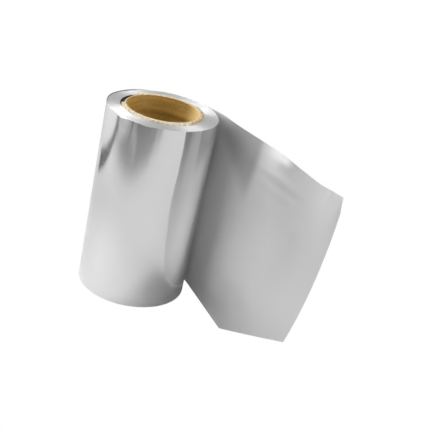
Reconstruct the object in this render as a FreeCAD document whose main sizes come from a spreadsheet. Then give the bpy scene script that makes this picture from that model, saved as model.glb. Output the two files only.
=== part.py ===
import FreeCAD, Part
import math
import os

import Sketcher

os.makedirs("parts", exist_ok=True)
doc = FreeCAD.newDocument("AluminiumFoilRoll")

# Driving sizes, in millimetres and degrees.
# The origin is the centre of the core's bore on the floor, and Z points up the bore.
sheet = doc.addObject("Spreadsheet::Sheet", "Sizes")
SIZES = [
    # paper core
    ("core_bore", 76.2),
    ("core_wall", 5.5),
    ("core_proud", 1.5),
    # wound foil
    ("roll_diameter", 119),
    ("foil_width", 206),
    ("foil_gauge", 0.3),
    # crescent where the first turns stand off the core: direction, deepest point, radius
    ("gap_angle", 162),
    ("gap_depth", 1.9),
    ("gap_radius", 39.7),
    # loose tail: where it leaves the roll, then how its foot and its head run in plan
    ("lift_angle", 60),
    ("foot_curl_radius", 92.4),
    ("foot_curl_angle", 30.7),
    ("foot_run", 114),
    ("foot_flare_radius", 520),
    ("foot_flare_angle", 10.9),
    ("head_curl_radius", 197.5),
    ("head_curl_angle", 19),
    ("head_run_extra", 24),
    ("head_flare_radius", 157),
    ("head_flare_angle", 22.4),
    # outline of the tail's end, measured past the end of the foot's straight run
    ("corner_reach", 75.2),
    ("corner_height", 50.5),
    ("corner_cut_angle", 27),
    ("end_radius", 420),
    ("shoulder_reach", 72.2),
    ("shoulder_drop", 17),
    ("tip_reach", 66.4),
    ("tip_drop", 3.3),
    ("lean_reach", 34),
    ("lean_drop", 6.2),
]
for row, (alias, value) in enumerate(SIZES, start=1):
    sheet.set(f"A{row}", alias)
    sheet.set(f"B{row}", str(value))
    sheet.setAlias(f"B{row}", alias)
doc.recompute()

# Sizes that several pieces share, worked out from the sheet.
CORE_RADIUS = "(Sizes.core_bore / 2 + Sizes.core_wall)"
ROLL_RADIUS = "(Sizes.roll_diameter / 2)"
HEAD_RUN = "(Sizes.foot_run + Sizes.head_run_extra)"
# Spare foil and spare cutter beyond the trimmed outline
MARGIN = 40


def number(expression):
    value = sheet.evalExpression(expression)
    return float(getattr(value, "Value", value))


def new_sketch(body, name, plane_role):
    sketch = body.newObject("Sketcher::SketchObject", name)
    plane = next(f for f in body.Origin.OriginFeatures if f.Role == plane_role)
    sketch.AttachmentSupport = [(plane, "")]
    sketch.MapMode = "FlatFace"
    return sketch


def bind(sketch, kind, where, expression):
    """Adds a dimension to the sketch and ties it to the sheet."""
    value = number(expression)
    if kind == "Angle":
        value = math.radians(value)
    index = sketch.addConstraint(Sketcher.Constraint(kind, *where, value))
    sketch.setExpression(f"Constraints[{index}]", expression)


def pin(sketch, geometry, point, across, up):
    """Fixes a point of the sketch at a place worked out from the sheet."""
    bind(sketch, "DistanceX", (-1, 1, geometry, point), across)
    bind(sketch, "DistanceY", (-1, 1, geometry, point), up)


def circle(sketch, across, up, radius):
    middle = FreeCAD.Vector(number(across), number(up), 0)
    shape = Part.Circle(middle, FreeCAD.Vector(0, 0, 1), number(radius))
    index = sketch.addGeometry(shape, False)
    pin(sketch, index, 3, across, up)
    bind(sketch, "Radius", (index,), radius)


def half_turn(sketch, middle_shift, radius, lift_point):
    """A half circle. Its point 1 or 2, as lift_point says, and its middle lie on the lift-off line."""
    across = f"{middle_shift} * cos(Sizes.lift_angle)"
    up = f"{middle_shift} * sin(Sizes.lift_angle)"
    middle = FreeCAD.Vector(number(across), number(up), 0)
    whole = Part.Circle(middle, FreeCAD.Vector(0, 0, 1), number(radius))
    first = math.radians(number("Sizes.lift_angle"))
    if lift_point == 2:
        first -= math.pi
    index = sketch.addGeometry(Part.ArcOfCircle(whole, first, first + math.pi), False)
    pin(sketch, index, 3, across, up)
    reach = f"({middle_shift} + {radius})"
    pin(
        sketch,
        index,
        lift_point,
        f"{reach} * cos(Sizes.lift_angle)",
        f"{reach} * sin(Sizes.lift_angle)",
    )
    bind(sketch, "Angle", (index,), "180")
    return index


def join(sketch, first, first_point, second, second_point):
    where = (first, first_point, second, second_point)
    sketch.addConstraint(Sketcher.Constraint("Coincident", *where))


def curve_on(sketch, start, heading, radius, turn):
    """Adds an arc that leaves start along heading. Returns its index, its far end and the new heading."""
    side = math.copysign(math.pi / 2, turn)
    middle = start + FreeCAD.Vector(math.cos(heading + side), math.sin(heading + side), 0) * radius
    angles = sorted((heading - side, heading - side + turn))
    whole = Part.Circle(middle, FreeCAD.Vector(0, 0, 1), radius)
    index = sketch.addGeometry(Part.ArcOfCircle(whole, *angles), False)
    heading += turn
    end = middle + FreeCAD.Vector(math.cos(heading - side), math.sin(heading - side), 0) * radius
    return index, end, heading


def tail_face(sketch, edge, run, depth, flare_sign):
    """One face of the tail in plan: a curl off the roll, a straight run and a flare, all tangent.

    depth is how far the face lies inside the outer one. Returns the curl, the flare and their end points.
    """
    start_radius = f"({ROLL_RADIUS} - {depth})"
    curl_radius = f"(Sizes.{edge}_curl_radius - {depth})"
    flare_radius = f"(Sizes.{edge}_flare_radius + {flare_sign} * {depth})"
    lift = math.radians(number("Sizes.lift_angle"))
    start = FreeCAD.Vector(math.cos(lift), math.sin(lift), 0) * number(start_radius)
    curl_turn = -math.radians(number(f"Sizes.{edge}_curl_angle"))
    flare_turn = flare_sign * math.radians(number(f"Sizes.{edge}_flare_angle"))

    curl, at, heading = curve_on(sketch, start, lift - math.pi / 2, number(curl_radius), curl_turn)
    ahead = FreeCAD.Vector(math.cos(heading), math.sin(heading), 0) * number(run)
    line = sketch.addGeometry(Part.LineSegment(at, at + ahead), False)
    flare, far, heading = curve_on(sketch, at + ahead, heading, number(flare_radius), flare_turn)

    # A left-hand arc starts at its point 1 and a right-hand arc at its point 2.
    flare_near, flare_far = (1, 2) if flare_sign > 0 else (2, 1)
    middle_shift = f"({start_radius} - {curl_radius})"
    pin(
        sketch,
        curl,
        3,
        f"{middle_shift} * cos(Sizes.lift_angle)",
        f"{middle_shift} * sin(Sizes.lift_angle)",
    )
    pin(
        sketch,
        curl,
        2,
        f"{start_radius} * cos(Sizes.lift_angle)",
        f"{start_radius} * sin(Sizes.lift_angle)",
    )
    bind(sketch, "Angle", (curl,), f"Sizes.{edge}_curl_angle")
    sketch.addConstraint(Sketcher.Constraint("Tangent", curl, 1, line, 1))
    bind(sketch, "Distance", (line,), run)
    sketch.addConstraint(Sketcher.Constraint("Tangent", line, 2, flare, flare_near))
    bind(sketch, "Radius", (flare,), flare_radius)
    bind(sketch, "Angle", (flare,), f"Sizes.{edge}_flare_angle")
    return (curl, start), (flare, flare_far, far)


def tail_section(body, name, edge, run, flare_sign):
    """The web in plan at its foot or its head: an outer face, an inner face and two cut ends."""
    sketch = new_sketch(body, name, "XY_Plane")
    outer_curl, outer_flare = tail_face(sketch, edge, run, "0", flare_sign)
    inner_curl, inner_flare = tail_face(sketch, edge, run, "Sizes.foil_gauge", flare_sign)
    far_end = sketch.addGeometry(Part.LineSegment(outer_flare[2], inner_flare[2]), False)
    near_end = sketch.addGeometry(Part.LineSegment(inner_curl[1], outer_curl[1]), False)
    join(sketch, far_end, 1, outer_flare[0], outer_flare[1])
    join(sketch, far_end, 2, inner_flare[0], inner_flare[1])
    join(sketch, near_end, 1, inner_curl[0], 2)
    join(sketch, near_end, 2, outer_curl[0], 2)
    return sketch


def outline(sketch, corners):
    """A closed outline of corners. Each has its place and the radius of the arc that follows, or None.

    The arcs bend to the left on the way to the next corner.
    """
    points = [FreeCAD.Vector(number(across), number(up), 0) for across, up, bend in corners]
    for index, (across, up, bend) in enumerate(corners):
        start = points[index]
        end = points[(index + 1) % len(points)]
        if bend is None:
            sketch.addGeometry(Part.LineSegment(start, end), False)
            continue
        radius = number(bend)
        half = (end - start) / 2
        left = FreeCAD.Vector(-half.y, half.x, 0).normalize()
        middle = start + half + left * math.sqrt(radius**2 - half.Length**2)
        first, last = [math.atan2(p.y - middle.y, p.x - middle.x) for p in (start, end)]
        if last < first:
            last += 2 * math.pi
        whole = Part.Circle(middle, FreeCAD.Vector(0, 0, 1), radius)
        sketch.addGeometry(Part.ArcOfCircle(whole, first, last), False)

    for index, (across, up, bend) in enumerate(corners):
        after = (index + 1) % len(corners)
        pin(sketch, index, 1, across, up)
        join(sketch, index, 2, after, 1)
        if bend is not None:
            bind(sketch, "Radius", (index,), bend)


def paper_core():
    """The wound paper tube. Its lower end is flush with the foil and its upper end stands proud."""
    body = doc.addObject("PartDesign::Body", "paper_core")
    ring = new_sketch(body, "core_ring", "XY_Plane")
    circle(ring, "0", "0", CORE_RADIUS)
    circle(ring, "0", "0", "Sizes.core_bore / 2")
    tube = body.newObject("PartDesign::Pad", "core_tube")
    tube.Profile = ring
    tube.setExpression("Length", "Sizes.foil_width + Sizes.core_proud")
    ring.Visibility = False
    return body


def loose_tail(body):
    """The loose end of the web: it leans out as it runs, so its foot and head differ in plan."""
    foot = tail_section(body, "tail_foot", "foot", "Sizes.foot_run", 1)
    head = tail_section(body, "tail_head", "head", HEAD_RUN, -1)
    head.setExpression("AttachmentOffset.Base.z", "Sizes.foil_width")
    loft = body.newObject("PartDesign::AdditiveLoft", "tail_web")
    loft.Profile = foot
    loft.Sections = [head]
    loft.Ruled = True
    doc.recompute()


def trim_tail(body):
    """Cuts the web to its outline: sloping lower corner, bowed end, worn tip, head drawn down by the lean.

    The sketch stands along the foot's straight run, with its origin where that run ends.
    """
    sketch = new_sketch(body, "tail_outline", "XZ_Plane")
    sketch.AttachmentOffset = FreeCAD.Placement(
        FreeCAD.Vector(0, 0, 0), FreeCAD.Rotation(FreeCAD.Vector(0, -1, 0), 1)
    )
    turn = "(90 + Sizes.foot_curl_angle - Sizes.lift_angle)"
    curl_end = f"((Sizes.foot_curl_radius - {ROLL_RADIUS}) * sin(Sizes.foot_curl_angle))"
    run_end = f"({curl_end} + Sizes.foot_run)"
    sketch.setExpression("AttachmentOffset.Rotation.Angle", turn)
    sketch.setExpression("AttachmentOffset.Base.x", f"{run_end} * cos({turn})")
    sketch.setExpression("AttachmentOffset.Base.z", f"{run_end} * sin({turn})")

    top = "Sizes.foil_width"
    lift_off = f"(-{ROLL_RADIUS} * sin(Sizes.foot_curl_angle) - {run_end})"
    cut_foot = "Sizes.corner_reach - Sizes.corner_height / tan(Sizes.corner_cut_angle)"
    lean_run = f"(Sizes.lean_reach - {lift_off})"
    lean_radius = f"({lean_run}^2 + Sizes.lean_drop^2) / (2 * Sizes.lean_drop)"
    beyond = f"Sizes.corner_reach + {MARGIN}"
    outline(
        sketch,
        [
            (cut_foot, "0", None),
            ("Sizes.corner_reach", "Sizes.corner_height", "Sizes.end_radius"),
            ("Sizes.shoulder_reach", f"{top} - Sizes.shoulder_drop", None),
            ("Sizes.tip_reach", f"{top} - Sizes.tip_drop", None),
            ("Sizes.lean_reach", f"{top} - Sizes.lean_drop", lean_radius),
            (lift_off, top, None),
            (lift_off, f"{top} + {MARGIN}", None),
            (beyond, f"{top} + {MARGIN}", None),
            (beyond, f"-{MARGIN}", None),
            (cut_foot, f"-{MARGIN}", None),
        ],
    )
    cut = body.newObject("PartDesign::Pocket", "tail_trim")
    cut.Profile = sketch
    cut.Type = "ThroughAll"
    cut.SideType = "Symmetric"
    sketch.Visibility = False
    doc.recompute()


def wound_turns(body):
    """The turns, wound tight enough to be one solid, with the step where the tail lifts off."""
    gauge = "Sizes.foil_gauge"
    plan = new_sketch(body, "turns_plan", "XY_Plane")
    under = half_turn(plan, f"(-{gauge} / 4)", f"({ROLL_RADIUS} - 3 * {gauge} / 4)", 2)
    over = half_turn(plan, f"({gauge} / 4)", f"({ROLL_RADIUS} - {gauge} / 4)", 1)
    lift = math.radians(number("Sizes.lift_angle"))
    outward = FreeCAD.Vector(math.cos(lift), math.sin(lift), 0)
    outer = number(ROLL_RADIUS)
    step = plan.addGeometry(
        Part.LineSegment(outward * (outer - number(gauge)), outward * outer), False
    )
    join(plan, step, 1, under, 2)
    join(plan, step, 2, over, 1)
    circle(plan, "0", "0", CORE_RADIUS)
    turns = body.newObject("PartDesign::Pad", "turns")
    turns.Profile = plan
    turns.setExpression("Length", "Sizes.foil_width")
    plan.Visibility = False
    doc.recompute()


def core_gap(body):
    """The crescent between core and first turns, which runs the whole width of the foil."""
    reach = f"({CORE_RADIUS} + Sizes.gap_depth - Sizes.gap_radius)"
    plan = new_sketch(body, "gap_plan", "XY_Plane")
    circle(
        plan,
        f"{reach} * cos(Sizes.gap_angle)",
        f"{reach} * sin(Sizes.gap_angle)",
        "Sizes.gap_radius",
    )
    gap = body.newObject("PartDesign::Pocket", "core_gap")
    gap.Profile = plan
    gap.Type = "ThroughAll"
    gap.SideType = "Symmetric"
    plan.Visibility = False
    doc.recompute()


def foil():
    """The one continuous web: turns, outer turn and loose tail."""
    body = doc.addObject("PartDesign::Body", "foil")
    loose_tail(body)
    trim_tail(body)
    wound_turns(body)
    core_gap(body)
    return body


pieces = [paper_core(), foil()]
doc.recompute()

for item in doc.Objects:
    if "Invalid" in item.State or "Error" in item.State:
        raise RuntimeError(f"{item.Name} did not build: {item.State}")
for piece in pieces:
    shape = piece.Shape
    if shape.isNull() or not shape.isValid() or len(shape.Solids) != 1:
        raise RuntimeError(f"{piece.Label} is not one valid solid")
    shape.exportStep(f"parts/{piece.Label}.step")
    print(piece.Label, round(shape.Volume), shape.BoundBox)
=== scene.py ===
import math

import bpy
from mathutils import Euler, Matrix, Vector, noise


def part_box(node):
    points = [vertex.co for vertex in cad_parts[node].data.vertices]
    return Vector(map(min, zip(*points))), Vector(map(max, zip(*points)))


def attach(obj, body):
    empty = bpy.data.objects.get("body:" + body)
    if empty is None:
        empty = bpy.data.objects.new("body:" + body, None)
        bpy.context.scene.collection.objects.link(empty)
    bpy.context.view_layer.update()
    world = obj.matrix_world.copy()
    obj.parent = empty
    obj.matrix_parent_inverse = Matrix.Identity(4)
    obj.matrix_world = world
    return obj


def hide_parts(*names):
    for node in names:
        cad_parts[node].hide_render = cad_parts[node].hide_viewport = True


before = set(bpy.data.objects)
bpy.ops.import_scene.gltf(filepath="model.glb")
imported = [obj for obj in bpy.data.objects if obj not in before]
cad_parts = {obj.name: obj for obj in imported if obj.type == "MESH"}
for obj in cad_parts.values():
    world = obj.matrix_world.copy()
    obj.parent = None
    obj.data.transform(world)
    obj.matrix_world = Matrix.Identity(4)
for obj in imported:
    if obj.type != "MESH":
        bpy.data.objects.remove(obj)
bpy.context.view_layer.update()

# Camera
# It stands in front of the roll and above it, as in the photograph, and is turned about its own line
# of sight, which is why the roll seems to lean to the left.
camera_place = (0.0771, -0.8642, 0.5007)
looks_down = math.radians(24.807)
turned = math.radians(12.878)
camera_data = bpy.data.cameras.new("camera")
camera_data.lens = 73.02
camera_data.sensor_width = 36
camera = bpy.data.objects.new("camera", camera_data)
bpy.context.collection.objects.link(camera)
aim = Euler((math.pi / 2 - looks_down, 0, 0)).to_matrix() @ Matrix.Rotation(turned, 3, "Z")
camera.matrix_world = Matrix.Translation(camera_place) @ aim.to_4x4()
bpy.context.scene.camera = camera
bpy.context.scene.view_settings.view_transform = "Standard"


# Studio
# A pale table that the camera sees as plain white, with darker floor past its edges and three strips
# of other tones beside it, two large soft lamps and grey walls. Bright foil reflects all of these.
table_reach = 3


def new_material(name):
    """A node material: returns it, its nodes, the function that links sockets, and its surface shader."""
    material = bpy.data.materials.new(name)
    material.use_nodes = True
    tree = material.node_tree
    return material, tree.nodes, tree.links.new, tree.nodes["Principled BSDF"]


def mesh_piece(name, points, faces, smooth=True):
    """A mesh object of the given points and faces, linked to the scene."""
    mesh = bpy.data.meshes.new(name)
    mesh.from_pydata(points, [], faces)
    mesh.validate()
    for face in mesh.polygons:
        face.use_smooth = smooth
    piece = bpy.data.objects.new(name, mesh)
    bpy.context.collection.objects.link(piece)
    return piece


def card(name, corners, height, seen=False):
    """A level matt card, which lights and reflections meet, and the camera only where it is seen."""
    points = [(x, y, height) for x, y in corners]
    piece = mesh_piece(name, points, [tuple(range(len(corners)))], smooth=False)
    material, nodes, link, surface = new_material(name)
    surface.inputs["Roughness"].default_value = 0.9
    surface.inputs["Specular IOR Level"].default_value = 0.0
    piece.data.materials.append(material)
    piece.visible_camera = seen
    return nodes, link, surface


def fade(nodes, link, source, start, end, first, last):
    """A value that goes smoothly from first to last while the source goes from start to end."""
    step = nodes.new("ShaderNodeMapRange")
    step.interpolation_type = "SMOOTHSTEP"
    step.inputs["From Min"].default_value = start
    step.inputs["From Max"].default_value = end
    step.inputs["To Min"].default_value = first
    step.inputs["To Max"].default_value = last
    link(source, step.inputs["Value"])
    return step.outputs["Result"]


def distance_along(nodes, link, direction):
    """How far a point of the object lies along a direction."""
    along = nodes.new("ShaderNodeVectorMath")
    along.operation = "DOT_PRODUCT"
    along.inputs[1].default_value = direction
    link(nodes.new("ShaderNodeTexCoord").outputs["Object"], along.inputs[0])
    return along.outputs["Value"]


def distance_from(nodes, link, place):
    """How far a point of the object lies from a place."""
    apart = nodes.new("ShaderNodeVectorMath")
    apart.operation = "DISTANCE"
    apart.inputs[1].default_value = place
    link(nodes.new("ShaderNodeTexCoord").outputs["Object"], apart.inputs[0])
    return apart.outputs["Value"]


def times(nodes, link, first, second):
    product = nodes.new("ShaderNodeMath")
    product.operation = "MULTIPLY"
    link(first, product.inputs[0])
    link(second, product.inputs[1])
    return product.outputs["Value"]


def white_to_camera(nodes, link, shader, white, output):
    """Shows the camera the white shader, and lights and reflections the other one."""
    choice = nodes.new("ShaderNodeMixShader")
    link(nodes.new("ShaderNodeLightPath").outputs["Is Camera Ray"], choice.inputs["Fac"])
    link(shader, choice.inputs[1])
    link(white, choice.inputs[2])
    link(choice.outputs["Shader"], output.inputs["Surface"])


table_corners = [
    (-table_reach, -table_reach),
    (table_reach, -table_reach),
    (table_reach, table_reach),
    (-table_reach, table_reach),
]
nodes, link, surface = card("table", table_corners, height=-0.0005, seen=True)
# Painted light and painted shade in the table's colour: a paler pool at the roll's left, paler still
# towards the left lamp, and a painted shadow at the front right of the roll.
lightest_at = (-0.09, -0.02, 0)
shaded_at = (0.066, -0.058, 0)
near_light = fade(nodes, link, distance_from(nodes, link, lightest_at), 0.02, 0.22, 0.64, 0.47)
left_light = fade(nodes, link, distance_along(nodes, link, (-1, 0, 0)), 0.22, 0.60, 1.0, 1.15)
near_shade = fade(nodes, link, distance_from(nodes, link, shaded_at), 0.02, 0.08, 0.72, 1.0)
lights = times(nodes, link, near_light, left_light)
link(times(nodes, link, lights, near_shade), surface.inputs["Base Color"])
white = nodes.new("ShaderNodeEmission")
white.inputs["Color"].default_value = (1, 1, 1, 1)
white.inputs["Strength"].default_value = 1.0
white_to_camera(nodes, link, surface.outputs["BSDF"], white.outputs["Emission"], nodes["Material Output"])

# Darker floor past the table's edges, at the front and at the back
floor_widens = 2
for name, faces_to, starts_at, from_side in (
    ("front_floor", -128, 0.33, -0.42),
    ("back_floor", 50, 0.42, -table_reach),
):
    past = Vector((math.cos(math.radians(faces_to)), math.sin(math.radians(faces_to)), 0))
    aside = Vector((-past.y, past.x, 0))
    corners = [
        past * starts_at + aside * from_side,
        past * table_reach + aside * (from_side - floor_widens),
        past * table_reach + aside * table_reach,
        past * starts_at + aside * table_reach,
    ]
    nodes, link, surface = card(name, [(corner.x, corner.y) for corner in corners], height=0.0003)
    past_edge = distance_along(nodes, link, past)
    edge_tone = fade(nodes, link, past_edge, starts_at, starts_at + 0.14, 0.47, 0.19)
    far_tone = fade(nodes, link, past_edge, starts_at + 0.20, starts_at + 0.36, 1.0, 0.35)
    link(times(nodes, link, edge_tone, far_tone), surface.inputs["Base Color"])

# Strips at the left, one darker and two paler than what is round them, which show near the roll's rim
dark_strip = [(-0.275, 0.192), (-0.560, -0.150), (-0.600, -0.110), (-0.330, 0.266)]
pale_strip = [(-0.250, -0.400), (-0.440, -0.385), (-0.480, -0.460), (-0.380, -0.510), (-0.260, -0.465)]
pale_corner = [(-0.505, -0.110), (-0.640, -0.110), (-0.660, -0.350), (-0.500, -0.390), (-0.475, -0.320)]
for name, tone, corners in (
    ("dark_strip", 0.10, dark_strip),
    ("pale_strip", 0.28, pale_strip),
    ("pale_corner", 0.37, pale_corner),
):
    nodes, link, surface = card(name, corners, height=0.0006)
    surface.inputs["Base Color"].default_value = (tone, tone, tone, 1)


def softbox(name, azimuth, width, height, watts):
    """A large rectangular lamp that faces the middle of the roll from three metres away."""
    light = bpy.data.lights.new(name, "AREA")
    light.shape = "RECTANGLE"
    light.size = width
    light.size_y = height
    light.energy = watts
    lamp = bpy.data.objects.new(name, light)
    middle = Vector((0, 0, 0.1))
    far = 3.0
    raised = math.radians(31)
    level = Vector((math.cos(math.radians(azimuth)), math.sin(math.radians(azimuth)), 0)) * math.cos(raised)
    lamp.location = middle + (level + Vector((0, 0, math.sin(raised)))) * far
    lamp.rotation_euler = (middle - lamp.location).to_track_quat("-Z", "Y").to_euler()
    bpy.context.collection.objects.link(lamp)


softbox("left_softbox", azimuth=180, width=6.4, height=1.9, watts=150)
softbox("right_softbox", azimuth=-4, width=2.8, height=1.8, watts=76)

world = bpy.data.worlds.new("studio")
bpy.context.scene.world = world
world.use_nodes = True
nodes, link = world.node_tree.nodes, world.node_tree.links.new
walls = nodes["Background"]
walls.inputs["Strength"].default_value = 1.0
upward = nodes.new("ShaderNodeSeparateXYZ")
link(nodes.new("ShaderNodeTexCoord").outputs["Generated"], upward.inputs["Vector"])
lighter_above = fade(nodes, link, upward.outputs["Z"], 0.15, 0.75, 0.42, 0.56)
darker_below = fade(nodes, link, upward.outputs["Z"], 0.03, 0.09, 0.15, 1.0)
lighter_behind = fade(nodes, link, upward.outputs["Y"], -0.6, -0.3, 0.0, 1.0)
brighter = nodes.new("ShaderNodeMath")
brighter.operation = "MAXIMUM"
link(darker_below, brighter.inputs[0])
link(lighter_behind, brighter.inputs[1])
left_wall = fade(nodes, link, upward.outputs["X"], -0.92, -0.75, 1.5, 1.0)
wall_tone = times(nodes, link, lighter_above, brighter.outputs["Value"])
link(times(nodes, link, wall_tone, left_wall), walls.inputs["Color"])
backdrop = nodes.new("ShaderNodeBackground")
backdrop.inputs["Color"].default_value = (1, 1, 1, 1)
backdrop.inputs["Strength"].default_value = 1.0
white_to_camera(
    nodes, link, walls.outputs["Background"], backdrop.outputs["Background"], nodes["World Output"]
)

# Paper core
# The tube that the foil is wound on: strips of brown kraft paper, wound on a slant and glued. Its cut
# rim stands a little proud of the foil, shows its plies, and is worn low at the back left.
core_low, core_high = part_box("paper_core")
core_radius = core_high.x
core_wall = 0.0055
core_bore = core_radius - core_wall
plies = 9
ply_crown = 0.00022
rim_fuzz = 0.00024
worn_at = math.radians(168)
worn_half = math.radians(20)
worn_depth = 0.0035
worn_from = 0.36
worn_over = 0.3
inner_edge = 0.0004
outer_edge = 0.0030
core_steps = 240
wall_rows = 60
rim_rings = plies * 4
strip_lead = 0.125


def bridge(first, second):
    """Quads between two closed rings of point numbers."""
    count = len(first)
    return [
        (first[step], first[(step + 1) % count], second[(step + 1) % count], second[step])
        for step in range(count)
    ]


def on_circle(radius, angle, height):
    return Vector((radius * math.cos(angle), radius * math.sin(angle), height))


def rim_height(out, angle, side):
    """How far the rim stands past the core's end, a share out through its wall: crowned, frayed plies."""
    crown = ply_crown * (abs(math.sin(math.pi * out * plies)) - 1)
    fray = rim_fuzz * noise.noise(on_circle(core_bore + out * core_wall, angle, side) * 900)
    worn = 0
    if side > 0:
        tear = 0.75 + 0.6 * noise.noise(on_circle(core_bore, angle, 5) * 350)
        worn = worn_depth * tear * math.exp(-(((angle - worn_at) / worn_half) ** 4))
        worn *= max(0, min(1, (out - worn_from) / worn_over))
    return min(0, crown + fray) - worn


core_section = []
inner_wall = core_high.z - 2 * inner_edge
outer_wall = core_high.z - outer_edge - inner_edge
for row in range(wall_rows + 1):
    core_section.append((core_bore, core_low.z + inner_edge + inner_wall * row / wall_rows, 0))
for ring in range(rim_rings + 1):
    core_section.append((core_bore + core_wall * ring / rim_rings, core_high.z, 1))
for row in range(wall_rows + 1):
    core_section.append((core_radius, core_high.z - outer_edge - outer_wall * row / wall_rows, 0))
for ring in range(rim_rings + 1):
    core_section.append((core_radius - core_wall * ring / rim_rings, core_low.z, -1))

core_points = []
for radius, height, side in core_section:
    for step in range(core_steps):
        angle = 2 * math.pi * step / core_steps
        stands = side * rim_height((radius - core_bore) / core_wall, angle, side) if side else 0
        core_points.append(on_circle(radius, angle, height + stands))
core_rings = [range(first, first + core_steps) for first in range(0, len(core_points), core_steps)]
core_faces = []
for number, ring in enumerate(core_rings):
    core_faces += bridge(core_rings[number - 1], ring)
core = mesh_piece("kraft_core", core_points, core_faces)


def noise_tone(nodes, link, stretch, detail):
    """A noise pattern, stretched along the object's axes."""
    mapping = nodes.new("ShaderNodeMapping")
    mapping.inputs["Scale"].default_value = stretch
    link(nodes.new("ShaderNodeTexCoord").outputs["Object"], mapping.inputs["Vector"])
    pattern = nodes.new("ShaderNodeTexNoise")
    pattern.inputs["Scale"].default_value = 1.0
    pattern.inputs["Detail"].default_value = detail
    link(mapping.outputs["Vector"], pattern.inputs["Vector"])
    return pattern.outputs["Fac"]


def add_bump(nodes, link, surface, height, strength, distance):
    bump = nodes.new("ShaderNodeBump")
    bump.inputs["Strength"].default_value = strength
    bump.inputs["Distance"].default_value = distance
    link(height, bump.inputs["Height"])
    link(bump.outputs["Normal"], surface.inputs["Normal"])


def kraft_paper(name, dark, light, band_share):
    """Kraft paper: fibres and long bands that run round the tube, between a dark and a light tone."""
    paper, nodes, link, surface = new_material(name)
    fibres = noise_tone(nodes, link, (420, 420, 420), detail=5)
    bands = noise_tone(nodes, link, (14, 14, 170), detail=3)
    blend = nodes.new("ShaderNodeMix")
    blend.inputs["Factor"].default_value = band_share
    link(fibres, blend.inputs["A"])
    link(bands, blend.inputs["B"])
    tone = nodes.new("ShaderNodeValToRGB")
    tone.color_ramp.elements[0].position = 0.36
    tone.color_ramp.elements[0].color = (*dark, 1)
    tone.color_ramp.elements[1].position = 0.64
    tone.color_ramp.elements[1].color = (*light, 1)
    link(blend.outputs["Result"], tone.inputs["Fac"])
    link(tone.outputs["Color"], surface.inputs["Base Color"])
    add_bump(nodes, link, surface, fibres, strength=0.35, distance=0.0002)
    surface.inputs["Roughness"].default_value = 0.6
    return paper, nodes, link, surface, tone.outputs["Color"]


wall_dark = (0.235, 0.122, 0.014)
wall_light = (0.44, 0.265, 0.062)
wall_paper, nodes, link, surface, tone = kraft_paper("kraft_wall", wall_dark, wall_light, band_share=0.7)
round_tube = nodes.new("ShaderNodeMath")
round_tube.operation = "ARCTAN2"
link(distance_along(nodes, link, (0, 1, 0)), round_tube.inputs[0])
link(distance_along(nodes, link, (1, 0, 0)), round_tube.inputs[1])
slant = nodes.new("ShaderNodeMath")
slant.operation = "MULTIPLY_ADD"
slant.inputs[1].default_value = strip_lead / (2 * math.pi)
link(round_tube.outputs["Value"], slant.inputs[0])
link(distance_along(nodes, link, (0, 0, 1)), slant.inputs[2])
lap = nodes.new("ShaderNodeMath")
lap.operation = "WRAP"
lap.inputs[1].default_value = strip_lead
lap.inputs[2].default_value = 0
link(slant.outputs["Value"], lap.inputs[0])
seam_shade = fade(nodes, link, lap.outputs["Value"], 0.0, 0.0012, 0.55, 1.0)
# Painted light: the bore's wall is painted paler on its right side, where the lamps light it.
paler = nodes.new("ShaderNodeMix")
paler.data_type = "RGBA"
painted_light_side = fade(nodes, link, distance_along(nodes, link, (1, 0, 0)), 0.020, 0.038, 0.0, 0.8)
link(painted_light_side, paler.inputs["Factor"])
link(tone, paler.inputs["A"])
paler.inputs["B"].default_value = (0.80, 0.58, 0.26, 1)
shaded = nodes.new("ShaderNodeVectorMath")
shaded.operation = "SCALE"
link(paler.outputs["Result"], shaded.inputs[0])
link(seam_shade, shaded.inputs["Scale"])
link(shaded.outputs["Vector"], surface.inputs["Base Color"])
core.data.materials.append(wall_paper)
for name, dark, light in (
    ("kraft_rim", (0.36, 0.29, 0.18), (0.72, 0.65, 0.52)),
    ("kraft_ply", (0.24, 0.17, 0.08), (0.50, 0.40, 0.24)),
    ("kraft_gap_shade", (0.006, 0.004, 0.002), (0.05, 0.03, 0.015)),
):
    core.data.materials.append(kraft_paper(name, dark, light, band_share=0.2)[0])
wall_face, rim_face, ply_face, gap_shade_face = range(4)
for face in core.data.polygons:
    out = (face.center.xy.length - core_bore) / core_wall
    ragged = 0.2 * noise.noise(face.center * 500)
    face.material_index = rim_face if out > 0.22 + ragged else wall_face
    # The outer half of the rim is darker on its right side.
    if out > 0.55 + ragged and face.center.x > 0.033 + 0.006 * ragged:
        face.material_index = ply_face
    face_angle = math.atan2(face.center.y, face.center.x) % (2 * math.pi)
    near_worn = abs(face_angle - worn_at) < worn_half * (1 + 3 * ragged)
    # Painted shade: the worn rim and the top of the core's outer wall at the back left are near black,
    # standing in for the shade in the gap behind the first turns.
    if out > 0.40 + ragged and near_worn and 0.0006 < core_high.z - face.center.z < 0.01:
        face.material_index = gap_shade_face
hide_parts("paper_core")
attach(core, "root")

# Wound turns
# Thin aluminium foil, wound tight and slit clean: an end face of fine rings at the top and at the foot,
# where some sixty turns stand for several hundred. The first turns stand off the core at the back left.
foil_low, foil_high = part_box("foil")
roll_radius = foil_high.y
foil_width = foil_high.z
gauge = 0.0003
lift_angle = math.radians(60)
turns = 58
steps = 256
groove = 0.00004
edge_below = 0.0003
rim_sunk = 0.0010
sunk_at = math.radians(155)
sunk_half = math.radians(48)
dent_from = 0.72
turn_wander = 0.00022
turn_shift = 0.0001
gap_angle = math.radians(162)
gap_depth = 0.0019
gap_radius = 0.0397
first_turn = core_radius + 0.00015
last_turn = roll_radius - 1.15 * gauge
pitch = (last_turn - first_turn) / (turns - 1)


def core_gap(angle):
    """How far the first turns stand off the core at an angle."""
    reach = core_radius + gap_depth - gap_radius
    aside = angle - gap_angle
    inside = gap_radius**2 - (reach * math.sin(aside)) ** 2
    return max(0, reach * math.cos(aside) + math.sqrt(inside) - core_radius)


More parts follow.
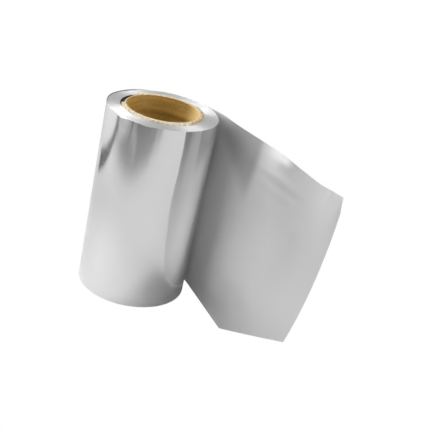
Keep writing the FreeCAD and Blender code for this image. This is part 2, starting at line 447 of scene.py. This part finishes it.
def rim_dent(angle):
    """How far the upper rim of the outer turns is pushed down at an angle: two knocks at the front."""
    depth = 0
    for centre, half_width, deepest in ((-128, 8, 0.0016), (-97, 7, 0.0009)):
        aside = (math.degrees(angle) - centre + 180) % 360 - 180
        depth += deepest * math.exp(-((aside / half_width) ** 2))
    return depth


def side_wave(angle, part):
    """How far the outer turn stands out at an angle, part of the way up: long ripples, finer at the rim."""
    place = on_circle(1, angle, 0)
    long_wave = noise.noise(place * 2.0 + Vector((0, 0, part)))
    short_wave = noise.noise(place * 7.0 + Vector((5, 5, part * 2.5)))
    rim_wave = 0.00009 * part**8 * noise.noise(place * 15.0 + Vector((2, 2, part * 7)))
    rim_wave += 0.00005 * part**6 * noise.noise(place * 26.0 + Vector((8, 1, part * 12)))
    front_right = max(0, math.cos(angle + 0.6)) ** 4
    handled = 0.00011 * front_right * noise.noise(place * 8.0 + Vector((1, 7, part * 4)))
    slow = (0.0001 + 0.0005 * part**3) * long_wave + (0.00002 + 0.00007 * part**3) * short_wave
    return slow + rim_wave + handled


def end_face(height, side):
    """The spiral of turn edges at the top (side 1) or the foot (side -1): points, and its two rims."""
    points = []
    for k in range(turns * steps + 1):
        angle = lift_angle - 2 * math.pi * k / steps
        out = k / steps / turns
        wave = side_wave(angle, max(0, side)) * out**4
        radius = first_turn + pitch * k / steps + core_gap(angle) * (1 - out) ** 1.5 + wave
        wander = noise.noise(on_circle(2.5, angle, 7 + side + k / steps * 0.9))
        stands = turn_wander * wander + turn_shift * noise.noise(Vector((3.0, side, k / steps * 2.7)))
        dent = rim_dent(angle) * max(0, (out - dent_from) / (1 - dent_from)) ** 1.4 if side > 0 else 0
        sunk = rim_sunk * math.exp(-(((angle % (2 * math.pi) - sunk_at) / sunk_half) ** 4)) * out**12
        crest = height - side * (edge_below - stands + dent + sunk)
        points.append(on_circle(radius - pitch / 2, angle, crest - side * groove))
        points.append(on_circle(radius, angle, crest))
    return points


top_points = end_face(foil_high.z, 1)
foot_points = end_face(foil_low.z, -1)
face_points = len(top_points)
wound_faces = []
for k in range(turns * steps):
    slope = (2 * k, 2 * k + 2, 2 * k + 3, 2 * k + 1)
    wound_faces.append(slope)
    wound_faces.append(tuple(number + face_points for number in slope[::-1]))
    if k < (turns - 1) * steps:
        valley = (2 * k + 1, 2 * k + 3, 2 * (k + 1 + steps), 2 * (k + steps))
        wound_faces.append(valley)
        wound_faces.append(tuple(number + face_points for number in valley[::-1]))
inner_rim = [2 * k for k in range(steps)]
outer_rim = [2 * ((turns - 1) * steps + k) + 1 for k in range(steps)]
wound_points = top_points + foot_points


def wall_below(rim, levels):
    """An upright wall under a rim, waved as the outer turn is, with points of its own: its faces."""
    rings = []
    for level in range(levels + 1):
        part = 1 - level / levels
        rings.append(range(len(wound_points), len(wound_points) + len(rim)))
        for number in rim:
            place = wound_points[number + face_points].lerp(wound_points[number], part)
            angle = math.atan2(place.y, place.x)
            straight = side_wave(angle, 0) * (1 - part) + side_wave(angle, 1) * part
            wound_points.append(place + on_circle(side_wave(angle, part) - straight, angle, 0))
    faces = []
    for upper_ring, lower_ring in zip(rings, rings[1:]):
        faces += bridge(upper_ring, lower_ring)
    return faces


wound_faces += wall_below(outer_rim, levels=12)
hole_from = len(wound_faces)
wound_faces += wall_below(inner_rim[::-1], levels=1)
wound = mesh_piece("wound_turns", wound_points, wound_faces)


def fine_lines(nodes, link, surface, amount):
    """Fine lines that run round the roll: they stretch reflections across themselves."""
    quarter_turn = 0.25
    surface.inputs["Anisotropic"].default_value = amount
    surface.inputs["Anisotropic Rotation"].default_value = quarter_turn
    tangent = nodes.new("ShaderNodeTangent")
    tangent.direction_type = "RADIAL"
    tangent.axis = "Z"
    link(tangent.outputs["Tangent"], surface.inputs["Tangent"])


def ringed_metal(name):
    """Slit foil edges: fine rings, some turns duller than others."""
    metal, nodes, link, surface = new_material(name)
    surface.inputs["Metallic"].default_value = 1.0
    fine_lines(nodes, link, surface, amount=0.8)
    flat = nodes.new("ShaderNodeVectorMath")
    flat.operation = "MULTIPLY"
    flat.inputs[1].default_value = (1, 1, 0)
    link(nodes.new("ShaderNodeTexCoord").outputs["Object"], flat.inputs[0])
    radius = nodes.new("ShaderNodeVectorMath")
    radius.operation = "LENGTH"
    link(flat.outputs["Vector"], radius.inputs[0])
    rings = nodes.new("ShaderNodeTexNoise")
    rings.noise_dimensions = "1D"
    rings.inputs["Scale"].default_value = 1400
    rings.inputs["Detail"].default_value = 4
    link(radius.outputs["Value"], rings.inputs["W"])
    link(fade(nodes, link, rings.outputs["Fac"], 0.3, 0.7, 0.84, 0.94), surface.inputs["Base Color"])
    link(fade(nodes, link, rings.outputs["Fac"], 0.3, 0.7, 0.46, 0.40), surface.inputs["Roughness"])
    return metal


wound.data.materials.append(ringed_metal("foil_edges"))
# Painted shade: the inner wall of the first turns, where they stand off the core at the back left, is near
# black, standing in for the shade in that gap.
turn_gap_shade, nodes, link, surface = new_material("turn_gap_shade")
turn_gap_shade_tone = noise_tone(nodes, link, (200, 200, 60), detail=3)
link(fade(nodes, link, turn_gap_shade_tone, 0.3, 0.7, 0.02, 0.07), surface.inputs["Base Color"])
surface.inputs["Roughness"].default_value = 0.8
surface.inputs["Specular IOR Level"].default_value = 0.1
wound.data.materials.append(turn_gap_shade)
edge_face, turn_gap_shade_face = range(2)
for face in wound.data.polygons:
    face.material_index = turn_gap_shade_face if face.index >= hole_from else edge_face
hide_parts("foil")
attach(wound, "root")

# Foil web
# The outer turn and the loose tail, one strip of aluminium foil: it goes once round the roll, lifts
# off at the back right and stands on its edge, leaning out. Outside it is bright. Inside it is satin,
# duller near the roll, and painted shade makes it a little darker towards its far end.
web_thickness = 0.0001
foot_path = {"curl_radius": 0.0924, "curl": 30.7, "run": 0.114, "flare_radius": 0.520, "flare": 10.9}
head_path = {"curl_radius": 0.1975, "curl": 19.0, "run": 0.138, "flare_radius": 0.157, "flare": -22.4}
corner = Vector((0.0752, 0.0505))
corner_cut = math.radians(27)
end_radius = 0.420
shoulder = Vector((0.0722, foil_width - 0.017))
tip = Vector((0.0664, foil_width - 0.0033))
lean = (0.034, 0.0062)
dimple_at = (1.60, 0.962)
dimple_half = (0.06, 0.018)
dimple_depth = 0.0003
settles_by = 0.6
overlap = 8
rows = 76
wrap_columns = 360
tail_columns = 260


def level_way(heading):
    return Vector((math.cos(heading), math.sin(heading), 0))


def plan_path(path, share):
    """Point and heading in plan at a share of the path: its curl up to 1, its run to 2, its flare to 3."""
    point = level_way(lift_angle) * roll_radius
    heading = lift_angle - math.pi / 2
    curl = math.radians(path["curl"])
    flare = math.radians(path["flare"])
    stretches = (
        (path["curl_radius"] * curl, -curl),
        (path["run"], 0),
        (path["flare_radius"] * abs(flare), flare),
    )
    for number, (length, turn) in enumerate(stretches):
        part = max(0, min(1, share - number))
        half_turn = turn * part / 2
        chord = length * part * (math.sin(half_turn) / half_turn if half_turn else 1)
        point = point + level_way(heading + half_turn) * chord
        heading += 2 * half_turn
    return point, heading


run_end, run_heading = plan_path(foot_path, 2)
run_way = level_way(run_heading)
lift_off = (level_way(lift_angle) * roll_radius - run_end).dot(run_way)
lean_radius = ((lean[0] - lift_off) ** 2 + lean[1] ** 2) / (2 * lean[1])


def past_run(point):
    """How far a point lies past the end of the foot's straight run."""
    return (point - run_end).dot(run_way)


def head_drop(at):
    """How far the tail's upper edge has sunk: a long slow arc, then straight to the worn tip."""
    if at <= lean[0]:
        return max(0, at - lift_off) ** 2 / (2 * lean_radius)
    return lean[1] + (foil_width - tip.y - lean[1]) * (at - lean[0]) / (tip.x - lean[0])


def end_reach(height):
    """Where the tail ends at a height: a bowed edge up to the shoulder, then in to the worn tip."""
    if height > shoulder.y:
        return shoulder.x + (tip.x - shoulder.x) * (height - shoulder.y) / (tip.y - shoulder.y)
    half = (shoulder - corner) / 2
    inward = Vector((-half.y, half.x)).normalized()
    middle = corner + half + inward * math.sqrt(end_radius**2 - half.length**2)
    return middle.x + math.sqrt(end_radius**2 - (height - middle.y) ** 2)


def tail_point(share, part):
    """A point of the flat-ruled tail, from its lower edge (part 0) to its upper edge (part 1)."""
    foot = plan_path(foot_path, share)[0]
    head = plan_path(head_path, share)[0] + Vector((0, 0, foil_width))
    slope = math.tan(corner_cut)
    cut_from = corner.x - corner.y / slope
    spread = past_run(head) - past_run(foot)
    lower = max(0, (past_run(foot) - cut_from) * slope / (foil_width - spread * slope))
    upper = 1 - head_drop(past_run(head)) / foil_width
    return foot.lerp(head, lower + (upper - lower) * part)


def end_share(part):
    """The share at which the tail ends, part of the way up, found by halving."""
    low, high = 2.0, 3.0
    halvings = 40
    for _ in range(halvings):
        share = (low + high) / 2
        point = tail_point(share, part)
        if past_run(point) < end_reach(point.z):
            low = share
        else:
            high = share
    return share


def tail_wave(share, part):
    """How far the tail stands out: slow waves, and at its upper edge a ripple, a fold and a dimple."""
    long_wave = 0.0005 * noise.noise(Vector((share * 1.6, part * 0.9, 3)))
    edge_wave = 0.0004 * part**10 * noise.noise(Vector((share * 7, part * 3, 9)))
    bent_out = 0.0025 * math.exp(-(((share - 1.52) / 0.17) ** 2))
    bent_in = 0.0028 * math.exp(-(((share - 0.98) / 0.28) ** 2))
    aside = (share - dimple_at[0]) / dimple_half[0]
    below = (part - dimple_at[1]) / dimple_half[1]
    dimple = dimple_depth * math.exp(-(aside**2) - below**2)
    return long_wave + edge_wave + (bent_out - bent_in) * part**12 - dimple


web_points = []
for column in range(wrap_columns + 1):
    gone = math.radians(-overlap + (360 + overlap) * column / wrap_columns)
    angle = lift_angle - gone
    for row in range(rows + 1):
        part = row / rows
        radius = roll_radius - gauge + gauge * gone / (2 * math.pi) + side_wave(angle, part)
        web_points.append(on_circle(radius, angle, foil_width * part - rim_dent(angle) * part**30))
ends = [end_share(row / rows) for row in range(rows + 1)]
for column in range(1, tail_columns + 1):
    for row in range(rows + 1):
        part = row / rows
        share = ends[row] * column / tail_columns
        loose = min(1, share / settles_by)
        stands_out = (1 - loose) * side_wave(lift_angle, part) + loose * tail_wave(share, part)
        heading = plan_path(foot_path, share)[1]
        web_points.append(tail_point(share, part) + level_way(heading + math.pi / 2) * stands_out)
web_faces = []
for column in range(wrap_columns + tail_columns):
    for row in range(rows):
        first = column * (rows + 1) + row
        second = first + rows + 1
        web_faces.append((first, first + 1, second + 1, second))
web = mesh_piece("outer_turn_and_tail", web_points, web_faces)


def rolled_foil(name):
    """Rolled aluminium: fine lines along the strip and soft clouds, which make its polish uneven."""
    metal, nodes, link, surface = new_material(name)
    surface.inputs["Metallic"].default_value = 1.0
    surface.inputs["Base Color"].default_value = (0.92, 0.915, 0.915, 1)
    lines = noise_tone(nodes, link, (3, 3, 160), detail=2)
    clouds = noise_tone(nodes, link, (14, 14, 9), detail=2)
    add_bump(nodes, link, surface, clouds, strength=0.1, distance=0.0002)
    return metal, nodes, link, surface, times(nodes, link, lines, clouds)


bright, nodes, link, surface, pattern = rolled_foil("foil_bright_face")
link(fade(nodes, link, pattern, 0.1, 0.4, 0.10, 0.14), surface.inputs["Roughness"])
fine_lines(nodes, link, surface, amount=0.5)

satin, nodes, link, surface, pattern = rolled_foil("foil_satin_face")
along_run = distance_along(nodes, link, run_way)
straightened = run_end.dot(run_way)
height = distance_along(nodes, link, (0, 0, 1))
slanted = distance_along(nodes, link, run_way + Vector((0, 0, 0.4)))
polish = nodes.new("ShaderNodeMix")
past_roll = fade(nodes, link, along_run, straightened - 0.12, straightened - 0.08, 0.0, 1.0)
link(past_roll, polish.inputs["Factor"])
link(fade(nodes, link, height, 0.08, 0.18, 0.86, 0.58), polish.inputs["A"])
link(fade(nodes, link, slanted, straightened + 0.03, straightened + 0.09, 0.42, 0.32), polish.inputs["B"])
grain = fade(nodes, link, pattern, 0.1, 0.4, 0.94, 1.06)
link(times(nodes, link, polish.outputs["Result"], grain), surface.inputs["Roughness"])
# Painted shade in the satin face's colour: darker towards the tail's far end, on the roll's left where the
# outer turn's inner face shows above the turns below, and between the curl and the fold near the tail's
# upper edge.
far_end_shade = fade(nodes, link, along_run, straightened - 0.08, straightened + 0.03, 0.96, 0.76)
turn_shade = fade(nodes, link, distance_along(nodes, link, (-1, 0, 0)), 0.02, 0.045, 1.0, 0.3)
upper = fade(nodes, link, height, 0.10, 0.19, 0.0, 1.0)
rising = distance_along(nodes, link, run_way + Vector((0, 0, 1)))
past_curl = fade(nodes, link, rising, straightened + 0.044, straightened + 0.092, 0.0, 1.0)
before_fold = fade(nodes, link, along_run, straightened - 0.066, straightened - 0.048, 1.0, 0.0)
fold_area = times(nodes, link, upper, times(nodes, link, past_curl, before_fold))
fold_shade = fade(nodes, link, fold_area, 0.0, 1.0, 1.0, 0.66)
inner_tone = times(nodes, link, far_end_shade, turn_shade)
link(times(nodes, link, inner_tone, fold_shade), surface.inputs["Base Color"])
web.data.materials.append(bright)
web.data.materials.append(satin)
thickness = web.modifiers.new("thickness", "SOLIDIFY")
thickness.thickness = web_thickness
thickness.offset = 1
thickness.material_offset = 1
sharp_rim = web.modifiers.new("sharp_rim", "EDGE_SPLIT")
sharp_rim.split_angle = math.radians(40)
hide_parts("foil")
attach(web, "root")
